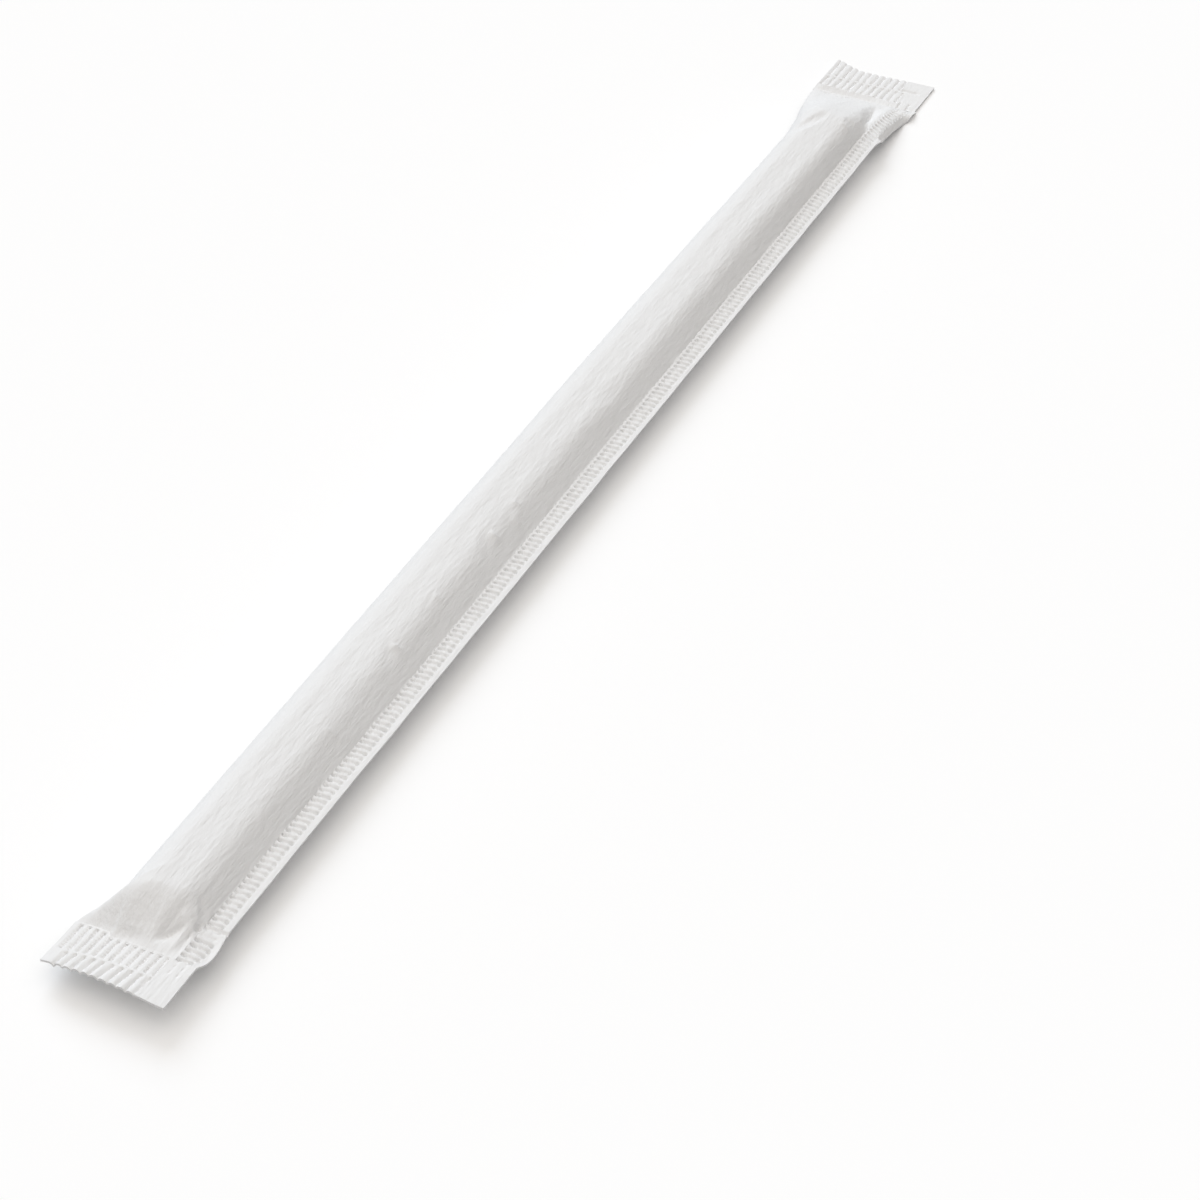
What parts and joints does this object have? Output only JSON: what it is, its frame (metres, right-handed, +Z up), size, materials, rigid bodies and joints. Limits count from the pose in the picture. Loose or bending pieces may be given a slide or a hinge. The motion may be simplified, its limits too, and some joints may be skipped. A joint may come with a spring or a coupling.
{
  "type": "wrapped drinking straw",
  "caption": "Straight drinking straw sealed in a white paper sleeve, with an embossed side seam and crimped flat ends.",
  "frame": {"origin": "middle of the bounding box, on the surface that the sleeve lies on", "axes": "+X along the sleeve from the end with the raised seal to the end whose seal lies flat, +Y across it towards the folded edge, so that the side seam is at -Y, +Z up"},
  "size_m": [0.2144, 0.0152, 0.0062],
  "materials": {
    "sleeve_paper": "thin uncoated white paper, matt, with fine lengthwise creases"
  },
  "bodies": {
    "root": {"wrapped_straw": "sleeve_paper"}
  },
  "joints": []
}
